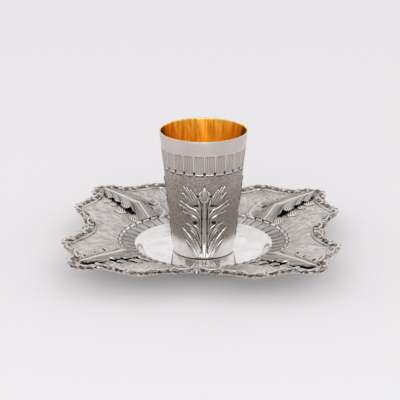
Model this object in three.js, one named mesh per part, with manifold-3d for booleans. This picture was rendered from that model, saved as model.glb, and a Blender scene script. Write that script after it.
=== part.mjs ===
// A silver kiddush cup standing on its matching saucer.
// The cup is a straight tapered beaker with a band of tongues under its rim and three acanthus plants
// growing up its wall. The saucer is a shallow dish with a flat polished well, a ring of tongues, a
// brim drawn out into four corners, a cast scrolled border round the brim and an acanthus leaf
// arching over each corner.
// Millimetres, +Z up. The origin is the centre of the saucer's underside.
import * as THREE from "three";
import { mergeVertices } from "three/addons/utils/BufferGeometryUtils.js";
import Module from "manifold-3d";

// ---- driving dimensions ----
const GAP = 0.3; // solder or contact gap between neighbouring pieces

const CUP = {
  height: 82.5,
  rimRadius: 28.9,
  footRadius: 20,
  wall: 0.8,
  floor: 1.0,
  lip: 0.35, // how far the rim's and the foot's outer edges are rounded
  corner: 2.5, // round between the inner wall and the floor
  turn: 4.5, // degrees that the cup is turned on its saucer
  segments: 48,
};

const CUP_TONGUES = {
  count: 24,
  bottom: 58.8, // lowest point of the scallops above the foot
  top: 72.4,
  share: 0.72, // of the pitch that the sunk panel takes
  depth: 0.35,
  cutterReach: 3, // how far a panel's cutter stands out of the wall
};

const PLANT = {
  count: 3,
  leafRelief: 0.7,
  stalkRelief: 1.1,
  notch: 0.16, // how far the notch between two fingers cuts towards the root
  low: 0.6, // above the foot
  high: 55.8,
};

const SAUCER = {
  floorRadius: 38,
  coveRadius: 46,
  ringRadius: 55,
  thickness: 0.9,
  coveRise: 4.6,
  ringRise: 6.7,
  brimRise: 15.2,
  brimReach: 14, // distance in which the brim gains most of its height
  brimShares: [0.3, 0.64], // rings between the ring of tongues and the edge
  tongues: 48,
  tongueDepth: 0.45,
  sidesPerTongue: 2,
  tongueLead: 1.2, // distance in which a tongue sinks from the cove
  tongueEnd: 2, // where it rises again to its lip, before the ring's edge
  lipRise: 0.3,
  lipWidth: 1,
  ribSetBack: 1.1, // how far the lip dips inwards at each rib
  underside: 0.45, // added thickness under the cove and the ring
};

const BORDER = {
  stations: 128,
  inside: 2.3, // how far it laps over the sheet
  height: 1.9,
  lip: 1.7, // how far the outer lip hangs below the sheet's upper side
  sheetClear: 0.45,
  rosetteRadius: 2.4, // the small ball in the middle of each side
  rosetteCentre: 78.2,
  rosetteRise: 0.7, // above the sheet's upper side
  wave: 0.15, // how much taller and lower than that its leaves stand in turn
};

const LEAF = {
  rootRadius: 55.5,
  tipRadius: 104.5,
  spineRise: 16.4, // above the saucer's floor
  tipRise: 16.1,
  halfWidth: 13.2,
  thickness: 0.9,
  edgeClear: 0.75,
  rootDip: 6.2, // how much lower the spine starts
  rootLength: 0.26, // share of the length in which it comes up
  leastArch: 0.2,
  across: [-1, -0.55, 0, 0.55, 1], // shares of the width at which the leaf bends
  broadest: 0.25, // where along the leaf its arch is broadest, as a share of the length
  archLength: 0.82, // from there to the end of the arch, as a share of the length
  archPower: 1.7,
  // half of the outline as [share of the length, share of the half width], with three lobes
  outline: [
    [0, 0.42],
    [0.05, 0.8],
    [0.1, 0.84],
    [0.15, 0.46],
    [0.19, 0.84],
    [0.27, 1],
    [0.37, 0.9],
    [0.45, 0.46],
    [0.51, 0.64],
    [0.61, 0.74],
    [0.71, 0.56],
    [0.77, 0.3],
    [0.84, 0.36],
    [0.92, 0.22],
    [1, 0.04],
  ],
};

// Half of the sheet's edge on the side that faces +X, from the middle of the side to the corner. The
// rest of the edge is this piece mirrored and turned. Each row is [x, y, reach], where the reach is
// how far the border goes out past the sheet there.
const SIDE_EDGE = [
  [73.8, 0, 3.0],
  [74.6, 7, 4.2],
  [77.4, 16, 4.6],
  [81.6, 25.5, 3.0],
  [87.0, 33.6, 2.2],
  [85.2, 42, 2.0],
  [80.0, 51.5, 2.0],
  [76.6, 60.5, 1.8],
  [79.2, 68, 2.8],
  [77.8, 73, 2.2],
];
const CORNER_EDGE = [76.6, 76.6, 2.4];

const COLOURS = {
  silver: 0xc9c6c1,
  satin: 0xb9b5ae,
  cast: 0xaaa49a,
};

const floorTop = SAUCER.thickness;
const wasm = await Module();
wasm.setup();

// ---- helpers ----

// How a row of rings is closed into a solid: round to the first ring again, by a fan at both ends, or
// for a thin leaf by a strip between the upper and the lower half of the end rings.
const CLOSE = { round: "round", fan: "fan", strip: "strip" };

// A closed geometry from a list of rings with equal numbers of points.
function loft(rings, closing) {
  const count = rings[0].length;
  const points = rings.flat();
  const faces = [];
  const last = closing === CLOSE.round ? rings.length : rings.length - 1;
  for (let i = 0; i < last; i++) {
    const a = i * count;
    const b = ((i + 1) % rings.length) * count;
    for (let j = 0; j < count; j++) {
      const k = (j + 1) % count;
      faces.push(a + j, b + j, b + k, a + j, b + k, a + k);
    }
  }
  const end = (rings.length - 1) * count;
  if (closing === CLOSE.fan) {
    const first = points.length;
    points.push(middleOf(rings[0]), middleOf(rings[rings.length - 1]));
    for (let j = 0; j < count; j++) {
      const k = (j + 1) % count;
      faces.push(first, j, k, first + 1, end + k, end + j);
    }
  }
  if (closing === CLOSE.strip) {
    for (let j = 0; j < count / 2 - 1; j++) {
      const [k, l, m] = [j + 1, count - 2 - j, count - 1 - j];
      faces.push(j, k, l, j, l, m, end + l, end + k, end + j, end + m, end + l, end + j);
    }
  }
  const geometry = new THREE.BufferGeometry();
  geometry.setAttribute(
    "position",
    new THREE.Float32BufferAttribute(points.flatMap((p) => [p.x, p.y, p.z]), 3),
  );
  geometry.setIndex(faces);
  return geometry;
}

function middleOf(ring) {
  const sum = new THREE.Vector3();
  ring.forEach((p) => sum.add(p));
  return sum.divideScalar(ring.length);
}

function solidOf(geometry) {
  const bare = geometry.index ? geometry.toNonIndexed() : geometry.clone();
  bare.deleteAttribute("normal");
  bare.deleteAttribute("uv");
  const merged = mergeVertices(bare, 1e-3);
  return new wasm.Manifold(
    new wasm.Mesh({
      numProp: 3,
      vertProperties: merged.attributes.position.array,
      triVerts: new Uint32Array(merged.index.array),
    }),
  );
}

function geometryOf(solid) {
  const mesh = solid.getMesh();
  const geometry = new THREE.BufferGeometry();
  geometry.setAttribute("position", new THREE.BufferAttribute(mesh.vertProperties, 3));
  geometry.setIndex(new THREE.BufferAttribute(mesh.triVerts, 1));
  return geometry;
}

function smooth(from, to, x) {
  const t = THREE.MathUtils.clamp((x - from) / (to - from), 0, 1);
  return t * t * (3 - 2 * t);
}

// ---- the cup ----

function cupRadius(z) {
  return THREE.MathUtils.lerp(CUP.footRadius, CUP.rimRadius, z / CUP.height);
}

// A turned solid about Z, from a profile of [radius, z] pairs that starts and ends on the axis.
function turned(profile) {
  const points = profile.map(([r, z]) => new THREE.Vector2(r, z));
  return new THREE.LatheGeometry(points, CUP.segments).rotateX(Math.PI / 2);
}

function cupBody() {
  const { height, rimRadius, footRadius, wall, floor, lip, corner } = CUP;
  const inner = (z) => cupRadius(z) - wall;
  return solidOf(
    turned([
      [0, 0],
      [footRadius - lip, 0],
      [cupRadius(lip), lip],
      [rimRadius, height - lip],
      [rimRadius - lip, height],
      [inner(height), height],
      [inner(floor + corner), floor + corner],
      [inner(floor) - corner / 3, floor + corner / 3],
      [inner(floor) - corner, floor],
      [0, floor],
    ]),
  );
}

// One sunk panel of the tongue band, with a round bottom, as a cutter in place at azimuth 0.
function tongueCutter() {
  const { count, bottom, top, share, depth } = CUP_TONGUES;
  const slope = Math.atan2(CUP.rimRadius - CUP.footRadius, CUP.height);
  const pitch = (2 * Math.PI * cupRadius((bottom + top) / 2)) / count;
  const half = (pitch * share) / 2;
  const outline = new THREE.Shape();
  outline.moveTo(half, top - bottom);
  outline.lineTo(-half, top - bottom);
  outline.lineTo(-half, half);
  outline.absarc(0, half, half, Math.PI, 2 * Math.PI, false);
  const cutter = new THREE.ExtrudeGeometry(outline, {
    depth: CUP_TONGUES.cutterReach,
    bevelEnabled: false,
    curveSegments: 2,
  });
  // Stand the panel up to face -Y, lean it with the wall, and sink it to its depth.
  cutter.rotateX(Math.PI / 2).translate(0, depth, 0).rotateX(slope);
  return cutter.translate(0, -cupRadius(bottom), bottom);
}

// A raised skin of the cup's wall between two heights.
function wallSkin(relief) {
  const { low, high } = PLANT;
  const depth = CUP.wall / 2;
  const ring = [
    [cupRadius(low) - depth, low],
    [cupRadius(low) + relief, low],
    [cupRadius(high) + relief, high],
    [cupRadius(high) - depth, high],
    [cupRadius(low) - depth, low],
  ];
  return solidOf(turned(ring));
}

// The three leaves on one side of a plant: the root, and the finger tips from the inside outwards,
// as [distance from the stalk's middle, height].
const PLANT_LEAVES = [
  { root: [1.2, 1.2], tips: [[8.3, 22.5], [14.2, 20.2], [12.8, 14.6], [11.2, 10.6]] },
  { root: [1.0, 15], tips: [[8.4, 33.2], [12.6, 39], [15.6, 38.6], [14.6, 32.6], [11.4, 29.6]] },
  { root: [0.9, 27], tips: [[5.4, 43.2], [8.9, 50.4], [13.2, 52], [14.2, 47], [13.4, 42]] },
];

// A leaf whose fingers fan out from its root, with a notch between each two.
function fanShape(root, tips) {
  const from = new THREE.Vector2(...root);
  const ends = tips.map((tip) => new THREE.Vector2(...tip));
  const outline = [from];
  ends.forEach((end, i) => {
    outline.push(end);
    const next = ends[i + 1];
    if (next) outline.push(end.clone().add(next).multiplyScalar(0.5).lerp(from, PLANT.notch));
  });
  return new THREE.Shape(outline);
}

// Half of the middle stalk with the bud on its end, as [distance from the middle, height].
const STALK = [[2.4, 0.8], [1.3, 14], [1.1, 40], [3.3, 45], [3, 48.5], [0, 53]];

function stalkShape() {
  const mirrored = STALK.slice(0, -1).map(([x, z]) => [-x, z]).reverse();
  return new THREE.Shape([...STALK, ...mirrored].map(([x, z]) => new THREE.Vector2(x, z)));
}

// One plant against the wall that faces -Y: broad fingers, a rib on each, and the stalk in front.
function plantSolid() {
  const prism = (shape) => {
    const made = new THREE.ExtrudeGeometry(shape, { depth: 2 * CUP.rimRadius, bevelEnabled: false });
    return solidOf(made.rotateX(Math.PI / 2));
  };
  const mirrored = ([x, z]) => [-x, z];
  const leaves = PLANT_LEAVES.flatMap(({ root, tips }) => [
    prism(fanShape(root, tips)),
    prism(fanShape(mirrored(root), tips.map(mirrored).reverse())),
  ]);
  const onWall = (parts, relief) => wasm.Manifold.union(parts).intersect(wallSkin(relief));
  return onWall(leaves, PLANT.leafRelief).add(onWall([prism(stalkShape())], PLANT.stalkRelief));
}

function cupGeometry() {
  const cutter = solidOf(tongueCutter());
  const plant = plantSolid();
  const turns = (count, solid) =>
    Array.from({ length: count }, (_, i) => solid.rotate([0, 0, (360 * i) / count]));
  const cut = cupBody().subtract(
    wasm.Manifold.union(turns(CUP_TONGUES.count, cutter.rotate([0, 0, 180 / CUP_TONGUES.count]))),
  );
  return geometryOf(wasm.Manifold.union([cut, ...turns(PLANT.count, plant)]));
}

// ---- the saucer ----

// Height of the sheet's upper side above the floor of the well.
function sheetRise(radius) {
  const { floorRadius, coveRadius, ringRadius, coveRise, ringRise, brimRise, brimReach } = SAUCER;
  if (radius <= floorRadius) return 0;
  if (radius <= coveRadius) {
    const t = (radius - floorRadius) / (coveRadius - floorRadius);
    return (coveRise * (1 - Math.cos(Math.PI * t))) / 2;
  }
  if (radius <= ringRadius) {
    const t = (radius - coveRadius) / (ringRadius - coveRadius);
    return THREE.MathUtils.lerp(coveRise, ringRise, t);
  }
  return ringRise + (brimRise - ringRise) * (1 - Math.exp(-(radius - ringRadius) / brimReach));
}

// The sheet's closed edge in plan, starting at the middle of the side that faces +X. Its third
// coordinate is the border's reach.
function edgeCurve() {
  const half = SIDE_EDGE.map((row) => new THREE.Vector3(...row));
  const beyond = half.slice(1).reverse().map((p) => new THREE.Vector3(p.y, p.x, p.z));
  const quarter = [...half, new THREE.Vector3(...CORNER_EDGE), ...beyond];
  const up = new THREE.Vector3(0, 0, 1);
  const points = [0, 1, 2, 3].flatMap((turn) =>
    quarter.map((p) => p.clone().applyAxisAngle(up, (turn * Math.PI) / 2)),
  );
  return new THREE.CatmullRomCurve3(points, true, "centripetal");
}

// Evenly spaced places on the edge, each with its outward direction in plan and the border's reach.
function edgeStations(count) {
  const curve = edgeCurve();
  curve.arcLengthDivisions = 3200;
  return Array.from({ length: count }, (_, i) => {
    const { x, y, z } = curve.getPointAt(i / count);
    const along = curve.getTangentAt(i / count);
    const out = new THREE.Vector3(along.y, -along.x, 0).normalize();
    return { point: new THREE.Vector3(x, y, 0), out, reach: z };
  });
}

function saucerDish() {
  const { floorRadius, coveRadius, ringRadius, thickness, tongues, sidesPerTongue } = SAUCER;
  const count = tongues * sidesPerTongue;
  const edge = edgeStations(count).map(({ point }) => point);
  const polar = (radius, i, z) => {
    const angle = (2 * Math.PI * i) / count;
    return new THREE.Vector3(radius * Math.cos(angle), radius * Math.sin(angle), z);
  };
  const ring = (make) => Array.from({ length: count }, (_, i) => make(i));
  const round = (radius, drop) => ring((i) => polar(radius, i, floorTop + sheetRise(radius) - drop));
  // Each tongue is sunk between two ribs; a rib is one station, and its outer end is set back.
  const isRib = (i) => i % sidesPerTongue === 0;
  const tongue = (radius) => {
    const sink = (i) => (isRib(i) ? 0 : SAUCER.tongueDepth);
    return ring((i) => polar(radius, i, floorTop + sheetRise(radius) - sink(i)));
  };
  const scallop = (beyond, lift) =>
    ring((i) => {
      const radius = ringRadius + beyond - (isRib(i) ? SAUCER.ribSetBack : 0);
      return polar(radius, i, floorTop + sheetRise(radius) + lift);
    });
  const brim = (share, drop) =>
    ring((i) => {
      const point = polar(ringRadius + SAUCER.lipWidth, i, 0).lerp(edge[i], share);
      point.z = floorTop + sheetRise(Math.hypot(point.x, point.y)) - drop;
      return point;
    });
  return loft(
    [
      round(floorRadius, 0),
      round((floorRadius + coveRadius) / 2, 0),
      round(coveRadius - SAUCER.tongueLead, 0),
      tongue(coveRadius),
      tongue(ringRadius - SAUCER.tongueEnd),
      scallop(0, SAUCER.lipRise),
      scallop(SAUCER.lipWidth, 0),
      ...SAUCER.brimShares.map((share) => brim(share, 0)),
      brim(1, 0),
      brim(1, thickness),
      brim(SAUCER.brimShares[0], thickness),
      round(ringRadius, thickness + SAUCER.underside),
      round(coveRadius, thickness + SAUCER.underside),
      round(floorRadius, thickness),
    ],
    CLOSE.fan,
  );
}

// The cast border: one section carried round the edge, with a small ball in the middle of each side.
function saucerBorder() {
  const { inside, height, lip, sheetClear, rosetteRadius, rosetteCentre, rosetteRise } = BORDER;
  const sectionAt = (reach, lift) => [
    [-inside, GAP],
    [-0.8 * inside, 0.7 * lift],
    [-0.2 * inside, lift],
    [0.6 * reach, 0.75 * lift],
    [reach, -0.2 * height],
    [0.8 * reach, -lip],
    [sheetClear, GAP],
  ];
  const stations = edgeStations(BORDER.stations).map(({ point, out, reach }, i) => {
    const lift = height * (1 + BORDER.wave * Math.cos(Math.PI * i));
    const base = floorTop + sheetRise(point.length());
    return sectionAt(reach, lift).map(([across, rise]) =>
      point.clone().addScaledVector(out, across).setZ(base + rise),
    );
  });
  const rings = stations[0].map((_, j) => stations.map((station) => station[j]));
  const ball = solidOf(new THREE.SphereGeometry(rosetteRadius, 10, 6).rotateX(Math.PI / 2));
  const ballHeight = floorTop + sheetRise(SIDE_EDGE[0][0]) + rosetteRise;
  const balls = [0, 90, 180, 270].map((turn) =>
    ball.translate([rosetteCentre, 0, ballHeight]).rotate([0, 0, turn]),
  );
  return geometryOf(wasm.Manifold.union([solidOf(loft(rings, CLOSE.round)), ...balls]));
}

// ---- the corner leaves ----

// One leaf along the diagonal towards +X +Y, arching over the brim, with lobes that come down to it.
function leafGeometry() {
  const { rootRadius, tipRadius, spineRise, tipRise, halfWidth, thickness, edgeClear } = LEAF;
  const rings = LEAF.outline.map(([share, reach]) => {
    const along = THREE.MathUtils.lerp(rootRadius, tipRadius, share);
    const dip = LEAF.rootDip * smooth(LEAF.rootLength, 0, share);
    const spine = THREE.MathUtils.lerp(spineRise, tipRise, share) - dip;
    // The arch comes down to the sheet at its full width, so a notch's edge stays up in the air.
    const arch = halfWidth * Math.sqrt(1 - ((share - LEAF.broadest) / LEAF.archLength) ** 2);
    const at = (part) => {
      const side = part * reach * halfWidth;
      const sheet = sheetRise(Math.hypot(along, side)) + edgeClear;
      const fall = Math.min(1, Math.abs(side) / arch) ** LEAF.archPower;
      const rise = sheet + Math.max(LEAF.leastArch, spine - sheet) * (1 - fall);
      const x = (along - side) / Math.SQRT2;
      const y = (along + side) / Math.SQRT2;
      return new THREE.Vector3(x, y, floorTop + rise);
    };
    const top = LEAF.across.map((part) => at(part).add(new THREE.Vector3(0, 0, thickness)));
    const under = LEAF.across.map(at).reverse();
    return [...top, ...under];
  });
  return loft(rings, CLOSE.strip);
}

// ---- the assembly ----

function named(name, geometry, colour, roughness) {
  const material = new THREE.MeshStandardMaterial({ color: colour, roughness, metalness: 1 });
  const mesh = new THREE.Mesh(geometry, material);
  mesh.name = name;
  return mesh;
}

const part = new THREE.Group();

const cup = named("cup", cupGeometry(), COLOURS.silver, 0.3);
cup.position.z = floorTop + GAP;
cup.rotation.z = THREE.MathUtils.degToRad(CUP.turn);
part.add(cup);

const saucer = new THREE.Group();
saucer.add(named("saucer_dish", saucerDish(), COLOURS.satin, 0.35));
saucer.add(named("saucer_border", saucerBorder(), COLOURS.cast, 0.45));
const corners = ["back_right", "back_left", "front_left", "front_right"];
corners.forEach((corner, i) => {
  const leaf = named(`corner_leaf_${corner}`, leafGeometry(), COLOURS.cast, 0.4);
  leaf.rotation.z = (i * Math.PI) / 2;
  saucer.add(leaf);
});
part.add(saucer);

export default part;
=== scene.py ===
"""A silver kiddush cup, gilt inside, standing on its shaped saucer.

The cup is a tapered beaker with a band of tongues and three acanthus plants chased on its wall. The
saucer is a raised dish with a polished well, a ring of tongues and a brushed brim, inside a cast
border of scrolls and leaves, with an acanthus leaf arching over each corner.

Sizes are in millimetres in the classes and turn into metres when a mesh is made.
"""

import logging
import math
from dataclasses import dataclass, field, replace
from enum import Enum
from typing import ClassVar

import bpy
import numpy as np
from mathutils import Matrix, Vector


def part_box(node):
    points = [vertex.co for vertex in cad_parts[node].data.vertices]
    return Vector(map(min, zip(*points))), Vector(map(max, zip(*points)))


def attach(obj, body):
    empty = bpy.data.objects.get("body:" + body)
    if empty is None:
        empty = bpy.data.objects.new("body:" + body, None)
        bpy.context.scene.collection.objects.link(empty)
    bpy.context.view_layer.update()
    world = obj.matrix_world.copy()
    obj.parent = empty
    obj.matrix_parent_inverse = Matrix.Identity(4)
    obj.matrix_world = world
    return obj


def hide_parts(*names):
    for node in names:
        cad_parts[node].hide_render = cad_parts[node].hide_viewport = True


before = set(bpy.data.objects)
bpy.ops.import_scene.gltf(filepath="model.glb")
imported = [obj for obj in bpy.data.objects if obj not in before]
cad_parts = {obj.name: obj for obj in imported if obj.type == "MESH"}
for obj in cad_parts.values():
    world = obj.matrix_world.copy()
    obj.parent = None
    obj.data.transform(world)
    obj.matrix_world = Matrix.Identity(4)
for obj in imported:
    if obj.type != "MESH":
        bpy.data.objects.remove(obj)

log = logging.getLogger("kiddush_cup")

MM = 0.001
BODY = "root"


class Zone(Enum):
    """The material index that a face of the cup takes."""

    SILVER = 0
    GILT = 1


# ---- mesh helpers ----


@dataclass
class Lattice:
    """A regular net of points, with the values that ride on them.

    Attributes:
        points: places in millimetres, rows by columns by 3.
        values: named numbers for each point, rows by columns.
    """

    points: np.ndarray
    values: dict[str, np.ndarray] = field(default_factory=dict)

    @classmethod
    def closed(cls, points: np.ndarray, values: dict[str, np.ndarray]) -> "Lattice":
        """A net whose last column meets its first one again."""
        wrapped = {key: np.hstack([grid, grid[:, :1]]) for key, grid in values.items()}
        return cls(np.hstack([points, points[:, :1]]), wrapped)


def activate(obj: bpy.types.Object) -> None:
    """Selects one object alone and makes it active."""
    bpy.ops.object.select_all(action="DESELECT")
    obj.select_set(True)
    bpy.context.view_layer.objects.active = obj


def apply_modifiers(obj: bpy.types.Object) -> None:
    """Applies every modifier of an object in order."""
    activate(obj)
    for modifier in list(obj.modifiers):
        bpy.ops.object.modifier_apply(modifier=modifier.name)


def weld(obj: bpy.types.Object) -> None:
    """Merges the points of an object that share a place, and turns its faces outwards."""
    activate(obj)
    bpy.ops.object.mode_set(mode="EDIT")
    bpy.ops.mesh.select_all(action="SELECT")
    bpy.ops.mesh.remove_doubles(threshold=0.002 * MM)
    bpy.ops.mesh.normals_make_consistent(inside=False)
    bpy.ops.object.mode_set(mode="OBJECT")


def grid_object(name: str, lattice: Lattice) -> bpy.types.Object:
    """Makes a flat grid and moves its points onto a lattice.

    Args:
        name: the object's name.
        lattice: where the points go, and the values that they keep as attributes.

    Returns:
        The object, whose mesh holds its place in metres.
    """
    rows, columns, _ = lattice.points.shape
    bpy.ops.object.select_all(action="DESELECT")
    bpy.ops.mesh.primitive_grid_add(x_subdivisions=columns - 1, y_subdivisions=rows - 1, size=2)
    obj = bpy.context.object
    obj.name = name
    obj.data.name = name
    mesh = obj.data
    flat = np.empty(len(mesh.vertices) * 3)
    mesh.vertices.foreach_get("co", flat)
    flat = flat.reshape(-1, 3)
    column = np.rint((flat[:, 0] + 1) / 2 * (columns - 1)).astype(int)
    row = np.rint((flat[:, 1] + 1) / 2 * (rows - 1)).astype(int)
    mesh.vertices.foreach_set("co", (lattice.points[row, column] * MM).ravel())
    for key, grid in lattice.values.items():
        layer = mesh.attributes.new(key, "FLOAT", "POINT")
        layer.data.foreach_set("value", np.ascontiguousarray(grid[row, column], dtype=np.float32))
    mesh.update()
    return obj


def join(objects: list[bpy.types.Object], name: str) -> bpy.types.Object:
    """Joins objects into one mesh under a new name."""
    bpy.ops.object.select_all(action="DESELECT")
    for obj in objects:
        obj.select_set(True)
    bpy.context.view_layer.objects.active = objects[0]
    bpy.ops.object.join()
    whole = bpy.context.object
    whole.name = name
    whole.data.name = name
    return whole


def thicken(sheet: bpy.types.Object, thickness: float) -> None:
    """Turns a sheet's face up and gives it a wall below, in millimetres."""
    face_up(sheet)
    wall = sheet.modifiers.new("wall", "SOLIDIFY")
    wall.thickness = thickness * MM
    wall.offset = -1.0
    apply_modifiers(sheet)


def face_up(sheet: bpy.types.Object) -> None:
    """Turns an open sheet over if it faces down."""
    if sum(face.normal.z * face.area for face in sheet.data.polygons) < 0:
        sheet.data.flip_normals()


def shade(obj: bpy.types.Object, degrees: float) -> None:
    """Shades an object smooth, except across edges sharper than an angle."""
    activate(obj)
    bpy.ops.object.shade_smooth_by_angle(angle=math.radians(degrees))


def smoothstep(low: float, high: float, x: np.ndarray) -> np.ndarray:
    """A smooth ramp from 0 at low to 1 at high."""
    t = np.clip((x - low) / (high - low), 0.0, 1.0)
    return t * t * (3 - 2 * t)


def bell(x: np.ndarray, centre: float | np.ndarray, width: float, power: int = 2) -> np.ndarray:
    """A smooth bump, 1 at its centre and small past its width; a higher power is flatter on top."""
    return np.exp(-(((x - centre) / width) ** power))


def quarter_turned(x: np.ndarray | float, y: np.ndarray | float, turns: int) -> tuple:
    """A place turned round the axis by whole quarters."""
    c, s = round(math.cos(turns * math.pi / 2)), round(math.sin(turns * math.pi / 2))
    return x * c - y * s, x * s + y * c


def blurred(grid: np.ndarray, passes: int) -> np.ndarray:
    """Averages a net of numbers with its neighbours, wrapping round its columns."""
    out = grid.copy()
    for _ in range(passes):
        above = np.vstack([out[:1], out[:-1]])
        below = np.vstack([out[1:], out[-1:]])
        out = (out * 2 + above + below + np.roll(out, 1, 1) + np.roll(out, -1, 1)) / 6
    return out


def hollows(grid: np.ndarray, passes: int, depth: float) -> np.ndarray:
    """How far each point of a relief lies below its surroundings, from 0 to 1.

    Args:
        grid: the relief's height in millimetres.
        passes: how far the surroundings reach.
        depth: the depth that counts as fully hollow.

    Returns:
        A net of numbers from 0 to 1.
    """
    return np.clip((blurred(grid, passes) - grid) / depth, 0.0, 1.0)


def speckle(shape: tuple[int, int], seed: int) -> np.ndarray:
    """A net of repeatable random numbers from -1 to 1."""
    return np.random.default_rng(seed).uniform(-1, 1, shape)


# ---- strokes of a chasing tool ----


@dataclass(frozen=True)
class Stroke:
    """A rounded ridge along a bent line on a surface.

    Attributes:
        start: where it leaves its stem.
        bend: the control point that it leans towards.
        end: its tip.
        half_width: half of its width at the fullest place.
        height: how far it stands up there.
        tip: its width at the tip as a share of the fullest.
    """

    start: tuple[float, float]
    bend: tuple[float, float]
    end: tuple[float, float]
    half_width: float
    height: float
    tip: float = 0.3
    STEPS: ClassVar[int] = 44

    def raise_on(self, x: np.ndarray, y: np.ndarray, relief: np.ndarray) -> None:
        """Raises a relief, in place, to at least this ridge."""
        for t in (i / self.STEPS for i in range(self.STEPS + 1)):
            cx = (1 - t) ** 2 * self.start[0] + 2 * t * (1 - t) * self.bend[0] + t * t * self.end[0]
            cy = (1 - t) ** 2 * self.start[1] + 2 * t * (1 - t) * self.bend[1] + t * t * self.end[1]
            full = 0.45 + 0.55 * math.sin(math.pi * t**0.8)
            ending = 1 - (1 - self.tip) * t**5
            width = self.half_width * full * ending
            lift = self.height * (0.55 + 0.45 * t) * (0.6 + 0.4 * ending)
            away = ((x - cx) ** 2 + (y - cy) ** 2) / width**2
            np.maximum(relief, lift * np.sqrt(np.clip(1 - away, 0, 1)), out=relief)


# ---- finishes ----


RGB = tuple[float, float, float]


class Graph:
    """A tree of shader nodes, with a short way to add each kind that the finishes use."""

    def __init__(self, tree: bpy.types.NodeTree) -> None:
        self.tree = tree

    @classmethod
    def metal(cls, name: str) -> tuple["Graph", bpy.types.Material]:
        """Starts a new metallic material."""
        material = bpy.data.materials.new(name)
        material.use_nodes = True
        graph = cls(material.node_tree)
        graph.shader.inputs["Metallic"].default_value = 1.0
        return graph, material

    @property
    def shader(self) -> bpy.types.Node:
        """The material's surface shader."""
        return self.tree.nodes["Principled BSDF"]

    def add(self, kind: str, inputs: dict, **settings: object) -> bpy.types.Node:
        """Adds a node.

        Args:
            kind: its type, without the prefix that all shader nodes share.
            inputs: for its inputs, by name or number, a socket to link or a constant.
            settings: its own properties, set before its inputs.

        Returns:
            The node.
        """
        node = self.tree.nodes.new("ShaderNode" + kind)
        for key, value in settings.items():
            setattr(node, key, value)
        for key, value in inputs.items():
            if isinstance(value, bpy.types.NodeSocket):
                self.tree.links.new(value, node.inputs[key])
            else:
                node.inputs[key].default_value = value
        return node

    def place(self) -> bpy.types.NodeSocket:
        """The shaded point in the object's own coordinates."""
        return self.add("TexCoord", {}).outputs["Object"]

    def attribute(self, name: str) -> bpy.types.NodeSocket:
        """A number that the mesh carries."""
        return self.add("Attribute", {}, attribute_name=name).outputs["Fac"]

    def math(self, operation: str, *terms: object, clamp: bool = False) -> bpy.types.NodeSocket:
        """Arithmetic on numbers."""
        node = self.add("Math", dict(enumerate(terms)), operation=operation, use_clamp=clamp)
        return node.outputs["Value"]

    def vector(self, operation: str, inputs: dict) -> bpy.types.NodeSocket:
        """Arithmetic on vectors."""
        return self.add("VectorMath", inputs, operation=operation).outputs["Vector"]

    def span(self, value: bpy.types.NodeSocket, old: tuple[float, float], new: tuple[float, float],
             **settings: object) -> bpy.types.NodeSocket:
        """Carries a number from one range to another, held at its ends."""
        inputs = {"From Min": old[0], "From Max": old[1], "To Min": new[0], "To Max": new[1]}
        return self.add("MapRange", {"Value": value, **inputs}, **settings).outputs["Result"]

    def noise(self, place: bpy.types.NodeSocket, scale: float, detail: float,
              distortion: float = 0.0) -> bpy.types.NodeSocket:
        """Smooth noise from 0 to 1."""
        inputs = {"Vector": place, "Scale": scale, "Detail": detail, "Distortion": distortion}
        return self.add("TexNoise", inputs).outputs["Fac"]

    def mix(self, factor: object, first: object, second: object,
            blend: str = "MIX") -> bpy.types.NodeSocket:
        """Blends two colours."""
        inputs = {"Factor": factor, "A": first, "B": second}
        return self.add("Mix", inputs, data_type="RGBA", blend_type=blend).outputs["Result"]

    def ramp(self, value: bpy.types.NodeSocket, low: float, dark: RGB, high: float,
             pale: RGB) -> bpy.types.NodeSocket:
        """Runs from a dark colour at one value to a pale one at another."""
        node = self.add("ValToRGB", {"Fac": value})
        for element, at, colour in zip(node.color_ramp.elements, (low, high), (dark, pale)):
            element.position = at
            element.color = (*colour, 1)
        return node.outputs["Color"]

    def bump(self, height: bpy.types.NodeSocket, strength: float, depth: float,
             normal: bpy.types.NodeSocket | None = None, invert: bool = False) -> bpy.types.NodeSocket:
        """Fine relief, its depth in millimetres, on top of any that is given."""
        inputs = {"Height": height, "Strength": strength, "Distance": depth * MM}
        if normal is not None:
            inputs["Normal"] = normal
        return self.add("Bump", inputs, invert=invert).outputs["Normal"]

    def finish(self, colour: bpy.types.NodeSocket, roughness: bpy.types.NodeSocket,
               normal: bpy.types.NodeSocket) -> None:
        """Links the shader's colour, roughness and normal."""
        for key, socket in (("Base Color", colour), ("Roughness", roughness), ("Normal", normal)):
            self.tree.links.new(socket, self.shader.inputs[key])


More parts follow.
